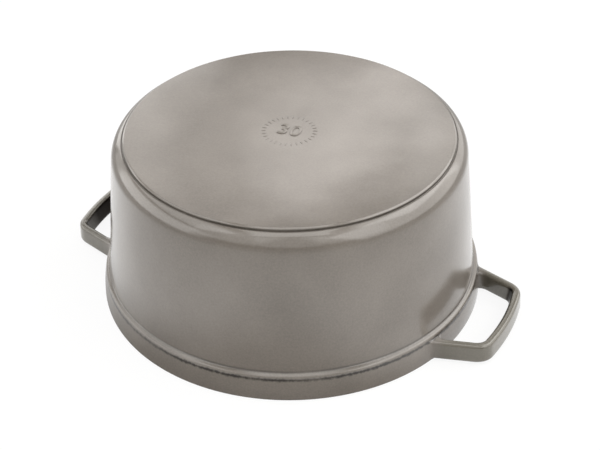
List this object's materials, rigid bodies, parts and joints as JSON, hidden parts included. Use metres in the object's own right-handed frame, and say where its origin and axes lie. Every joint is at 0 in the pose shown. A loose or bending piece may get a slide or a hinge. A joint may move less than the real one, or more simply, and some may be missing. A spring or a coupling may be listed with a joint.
{
  "type": "cast iron roaster",
  "caption": "Round enamelled cast iron roasting pot with loop handles on its rim, stored upside down over its lid; the pot lifts off, and the lid closes it when upright.",
  "frame": {"origin": "middle of the rim plane, on the surface that the upturned pot stands on", "axes": "+Z from the rim up to the pot's base, +X along the handles"},
  "size_m": [0.3892, 0.316, 0.1424],
  "materials": {
    "grey_enamel": "warm grey glossy enamel outside, matt black enamel inside",
    "nickel": "nickel-plated steel, satin",
    "steel": "plain stainless steel"
  },
  "bodies": {
    "lid_set": {"lid": "grey_enamel", "lid_knob": "nickel", "knob_screw": "steel", "knob_washer": "steel"},
    "pot": {"pot": "grey_enamel"}
  },
  "joints": [
    {"name": "pot_lift", "type": "slide", "parent": "lid_set", "child": "pot", "axis": [0, 0, 1], "range_m": [0, 0.15]}
  ]
}
